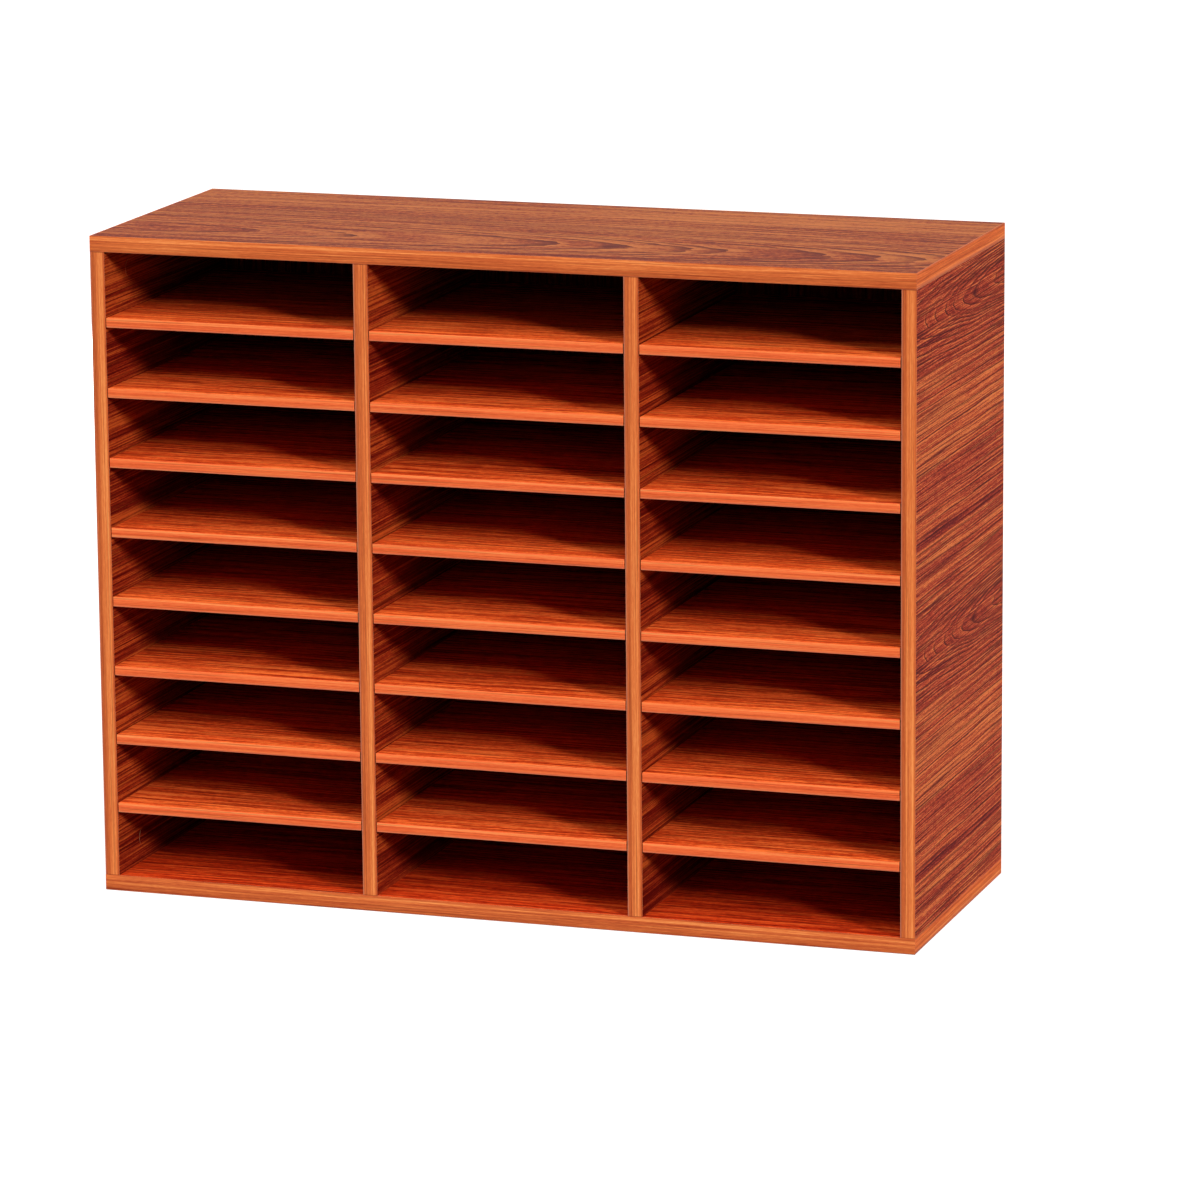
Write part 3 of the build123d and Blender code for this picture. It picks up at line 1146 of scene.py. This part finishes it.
stickers, bolts = [], []
for face, across, middle, depth, plane, up in joints:
    height = plane - up * CAM_DISTANCE
    stickers.append(((face, depth, height), (0, across * math.pi / 2, 0)))
    bolts.append(((middle, depth, height), (0 if up > 0 else math.pi, 0, 0)))
dowels = []
for wall in UPRIGHTS[1:-1]:
    low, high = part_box(wall)
    for plane, turn in ((low.z, math.pi), (high.z, 0)):
        dowels += [(((low.x + high.x) / 2, depth, plane), (turn, 0, 0)) for depth in JOINT_DEPTHS]
print("places:", len(stickers), "stickers,", len(bolts), "bolts and", len(dowels), "dowels")

# %% [markdown]
# ## Their shapes
#
# A bolt has a head and a neck for the cam to grip, a plain shaft through the joint, and a thread
# that holds in the chipboard. A dowel has chamfered ends and fine flutes, which let the glue out.
# The bolts and cams are metal of two kinds, bright steel and dull zinc.

# %% Shapes of the joints
STICKER = [(8.2, 0.0), (9.0, 0.1), (9.0, 0.3), (8.8, 0.4)]
DOWEL = [(2.5, -20.0), (3.0, -19.2), (3.0, 9.2), (2.5, 10.0)]
FLUTE_DEPTH = 0.00018
ROUND_SIDES, BOLT_SIDES = 48, 24
BOLT_HEAD = [(2.9, 1.54), (3.5, 1.9), (3.5, 3.7), (3.2, 4.03), (2.2, 4.04), (2.2, 23.2)]
THREAD_START = 24.0
THREAD_PITCH = 1.375
THREAD_TURNS = 8
THREAD_ROOT, THREAD_CREST, THREAD_POINT = 1.8, 2.5, 1.2


def bolt_profile():
    """A bolt from its head to the point of its thread."""
    ridges = []
    for turn in range(THREAD_TURNS):
        start = THREAD_START + turn * THREAD_PITCH
        ridges += [(THREAD_ROOT, start), (THREAD_CREST, start + THREAD_PITCH / 2)]
    end = THREAD_START + THREAD_TURNS * THREAD_PITCH
    return BOLT_HEAD + ridges + [(THREAD_POINT, end)]


steel = plain_material(
    "bolt_steel", (150, 148, 142), (186, 184, 178), (3, 3, 3), 0.3, FINE, metallic=1.0
)
zinc = plain_material(
    "cam_zinc", (142, 144, 146), (172, 174, 176), (2, 2, 2), 0.45, COARSE, metallic=1.0
)
beech = plain_material(
    "dowel_beech", (190, 150, 104), (216, 182, 136), (1.2, 1.2, 14), 0.6, COARSE
)
sticker = turned("sticker", STICKER, ROUND_SIDES)
bolt = turned("bolt", bolt_profile(), BOLT_SIDES)
dowel = turned("dowel", DOWEL, ROUND_SIDES, FLUTE_DEPTH)
for name, shape, places, material, node, slot in [
    ("cam_stickers", sticker, stickers, side_film, "cam_covers", "cover_film"),
    ("cam_bolts_threaded", bolt, bolts, steel, "cam_bolts", "steel"),
    ("dowels_fluted", dowel, dowels, beech, "dowels", "dowel_wood"),
]:
    piece = set_down(name, shape, places, material)
    settle(piece, CASE, [node])
    print(len(places), "copies,", len(piece.data.polygons), "faces,", measured(piece))
dress("cam_locks", zinc)

# %% [markdown]
# ## Light
#
# The main lamp stands low at the front right, so that each shelf shades the one below it and the
# uprights shade the compartments. Its wide disc gives soft edges to those shadows. A second, very
# wide lamp above the front fills the edges of the shelves and the top, and leaves the depth of the
# compartments dark. A third, a panel of light, stands low behind on the left, where the others
# don't reach. It shows the back and the left side, and being lower than the top board it can't
# gloss it.

# %% Lamps
MAIN_TRAVEL = Vector((-2.2, 1.47, -1.0))
MAIN_STRENGTH = 2.45
MAIN_WIDTH = math.radians(10)
FILL_TRAVEL = Vector((0.1, 0.42, -1.0))
FILL_STRENGTH = 2.45
FILL_WIDTH = math.radians(60)
REAR_PLACE = Vector((-1.9, 2.6, 0.3))
REAR_SIZE = (1.2, 0.4)
REAR_POWER = 90


def make_lamp(name, travel, strength, width):
    """A far lamp, whose width is the angle of its disc."""
    data = bpy.data.lights.new(name, "SUN")
    data.energy = strength
    data.angle = width
    lamp = put(name, data)
    lamp.rotation_euler = travel.to_track_quat("-Z", "Y").to_euler()
    rise = math.degrees(math.asin(-travel.normalized().z))
    print(name, "stands", round(rise, 1), "degrees up")


def make_rear_lamp():
    """A wide panel of light that stands behind on the left, below the height of the top board."""
    data = bpy.data.lights.new("rear_lamp", "AREA")
    data.shape = "RECTANGLE"
    data.size, data.size_y = REAR_SIZE
    data.energy = REAR_POWER
    lamp = put("rear_lamp", data)
    lamp.location = REAR_PLACE
    level = Vector((-REAR_PLACE.x, -REAR_PLACE.y, 0))
    lamp.rotation_euler = level.to_track_quat("-Z", "Y").to_euler()
    lamp.visible_camera = False


make_lamp("main_lamp", MAIN_TRAVEL, MAIN_STRENGTH, MAIN_WIDTH)
make_lamp("fill_lamp", FILL_TRAVEL, FILL_STRENGTH, FILL_WIDTH)
make_rear_lamp()

# %% [markdown]
# ## Room
#
# The room is white to look at and in reflections, while it lights the object at a quieter level,
# so that a colour comes out about as it was written. A ray knows what it is for, and the Light
# Path node tells the two uses apart.

# %% Room
ROOM_LEVEL = 0.1
WHITE = (1, 1, 1, 1)


def looked_at(tree):
    """1 for what is looked at, also in a mirror or through glass, and 0 for light."""
    path = tree.node("ShaderNodeLightPath")
    found = path.out("Is Camera Ray").math("MAXIMUM", path.out("Is Glossy Ray"))
    return found.math("MAXIMUM", path.out("Is Transmission Ray"))


def make_room():
    """A world that is white to look at and quieter as a light."""
    scene.world = bpy.data.worlds.new("room")
    scene.world.use_nodes = True
    scene.world.node_tree.nodes.clear()
    tree = Tree(scene.world.node_tree)
    level = ROOM_LEVEL + looked_at(tree) * (1 - ROOM_LEVEL)
    shader = tree.node("ShaderNodeBackground", sockets={"Color": WHITE, "Strength": level})
    tree.node("ShaderNodeOutputWorld", sockets={"Surface": shader})


make_room()
print("room: a light of", ROOM_LEVEL, "and white to look at")

# %% [markdown]
# ## Floor
#
# The floor is a plain pale disc. To the camera it glows almost white and takes only a faint
# shadow, so that the cabinet stands on something without a grey room around it. To the light it is
# an ordinary matt surface. It lies half a millimetre lower than the cabinet, so that their faces
# don't fight.

# %% Floor
FLOOR_RADIUS = 9.0
FLOOR_SIDES = 96
FLOOR_DROP = 0.0005
FLOOR_GLOW = 0.88
FLOOR_SHADOW = 0.3
FLOOR_PALE = 0.2


def matt(tree, level):
    """A plain matt grey."""
    return tree.node("ShaderNodeBsdfDiffuse", sockets={"Color": (level, level, level, 1)})


def make_floor():
    """A round floor under the cabinet."""
    shape = bmesh.new()
    bmesh.ops.create_circle(shape, cap_ends=True, segments=FLOOR_SIDES, radius=FLOOR_RADIUS)
    mesh = bpy.data.meshes.new("floor")
    shape.to_mesh(mesh)
    shape.free()
    mesh.transform(Matrix.Translation((0, 0, -FLOOR_DROP)))
    floor = put("floor", mesh)
    material, tree = new_material("floor_matt")
    glow = tree.node("ShaderNodeEmission", sockets={"Color": WHITE, "Strength": FLOOR_GLOW})
    bright = tree.node("ShaderNodeAddShader", sockets={0: glow, 1: matt(tree, FLOOR_SHADOW)})
    either = {0: looked_at(tree), 1: matt(tree, FLOOR_PALE), 2: bright}
    shader = tree.node("ShaderNodeMixShader", sockets=either)
    tree.node("ShaderNodeOutputMaterial", sockets={"Surface": shader})
    mesh.materials.append(material)


make_floor()
scene.view_settings.view_transform = "Standard"
print("floor radius:", FLOOR_RADIUS, "m")
